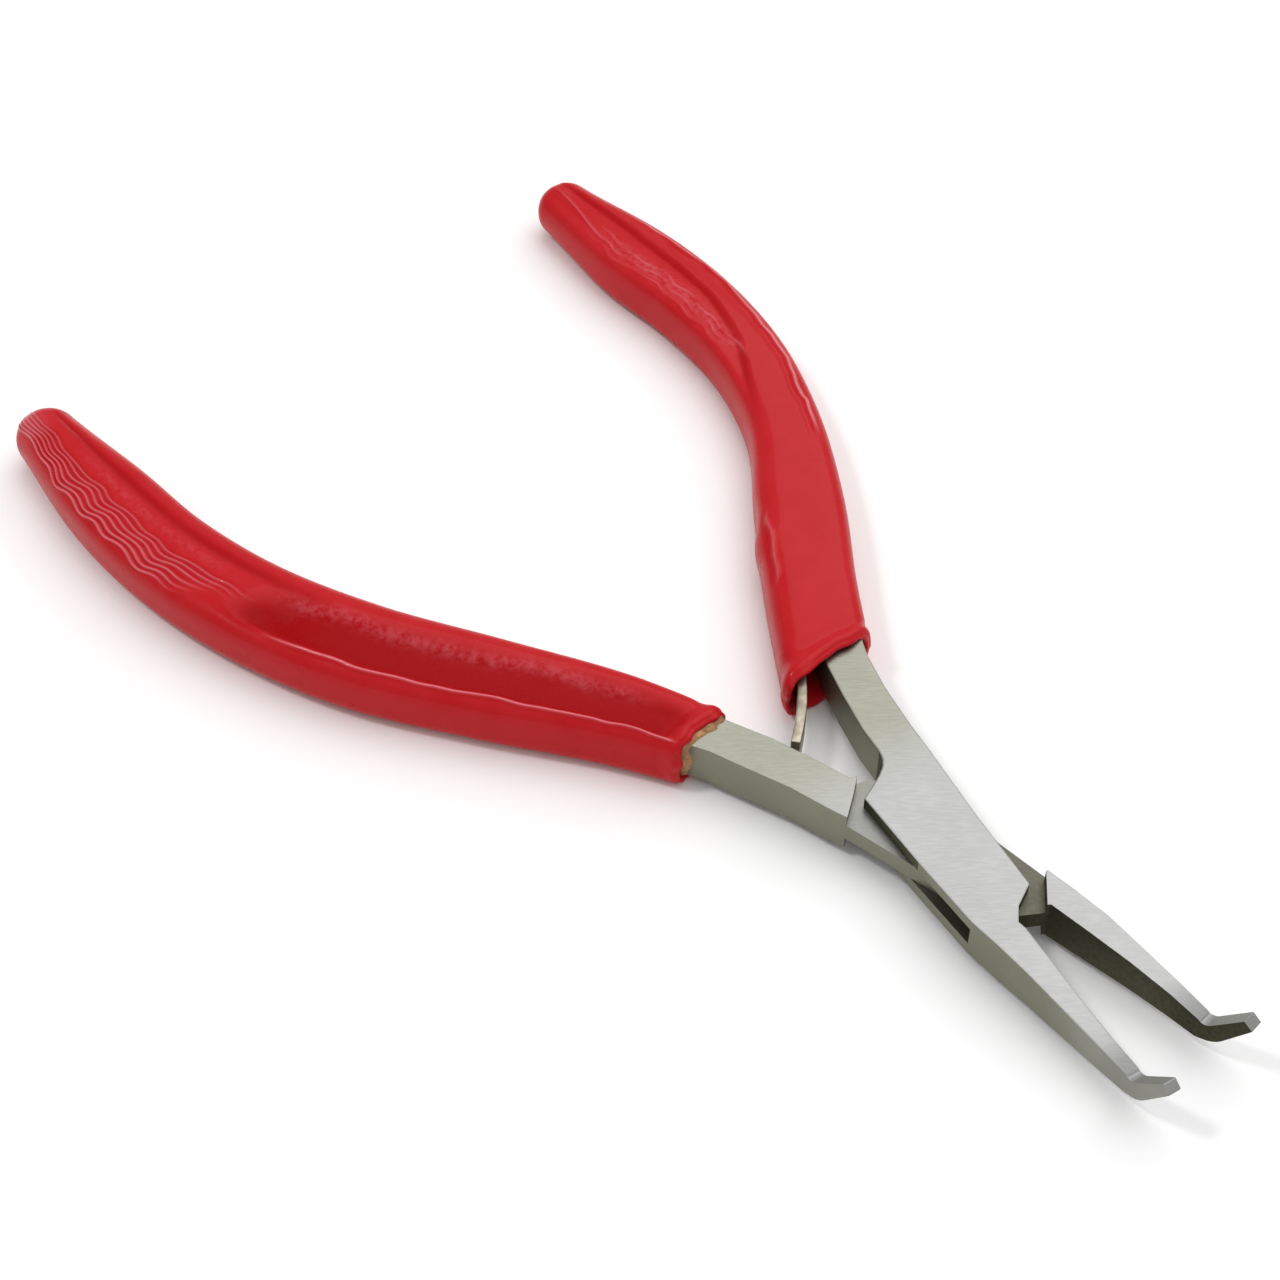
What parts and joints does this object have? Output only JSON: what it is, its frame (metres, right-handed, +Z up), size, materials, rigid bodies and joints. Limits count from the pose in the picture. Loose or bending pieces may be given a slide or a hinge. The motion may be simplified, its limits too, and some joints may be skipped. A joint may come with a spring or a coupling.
{
  "type": "needle nose pliers",
  "caption": "Small bent-nose box-joint pliers, open, with slim jaws turned up at the tips, a leaf return spring and glossy red dipped-style sleeves on curved handles",
  "frame": {"origin": "On the pivot axis, at the lower steel face of the joint", "axes": "+X along the tool towards the jaw tips, halfway between the two jaws; +Y towards the right handle; +Z up out of the joint's upper face, the way the tips are bent"},
  "size_m": [0.1332, 0.0785, 0.0068],
  "materials": {
    "steel": "fine satin ground steel, light grey on top, darker olive grey on the sides",
    "spring_steel": "plain strip, slightly warmer and smoother than the tool's steel",
    "red_pvc": "glossy soft red sleeve with fine wavy creases along its top",
    "glue": "translucent amber adhesive left at the sleeve's mouth"
  },
  "bodies": {
    "box_side": {"box_half": "steel", "pivot_pin": "steel", "right_grip": "red_pvc", "return_spring": "spring_steel", "spring_rivet": "spring_steel"},
    "tongue_side": {"tongue_half": "steel", "left_grip": "red_pvc", "left_glue": "glue"}
  },
  "joints": [
    {"name": "jaw_pivot", "type": "hinge", "parent": "box_side", "child": "tongue_side", "pos_m": [0, 0, 0], "axis": [0, 0, -1], "range_deg": [0, 15.2], "stiffness_Nm_per_rad": 1.2, "springref_deg": -2.86, "deforming": ["return_spring"]}
  ]
}
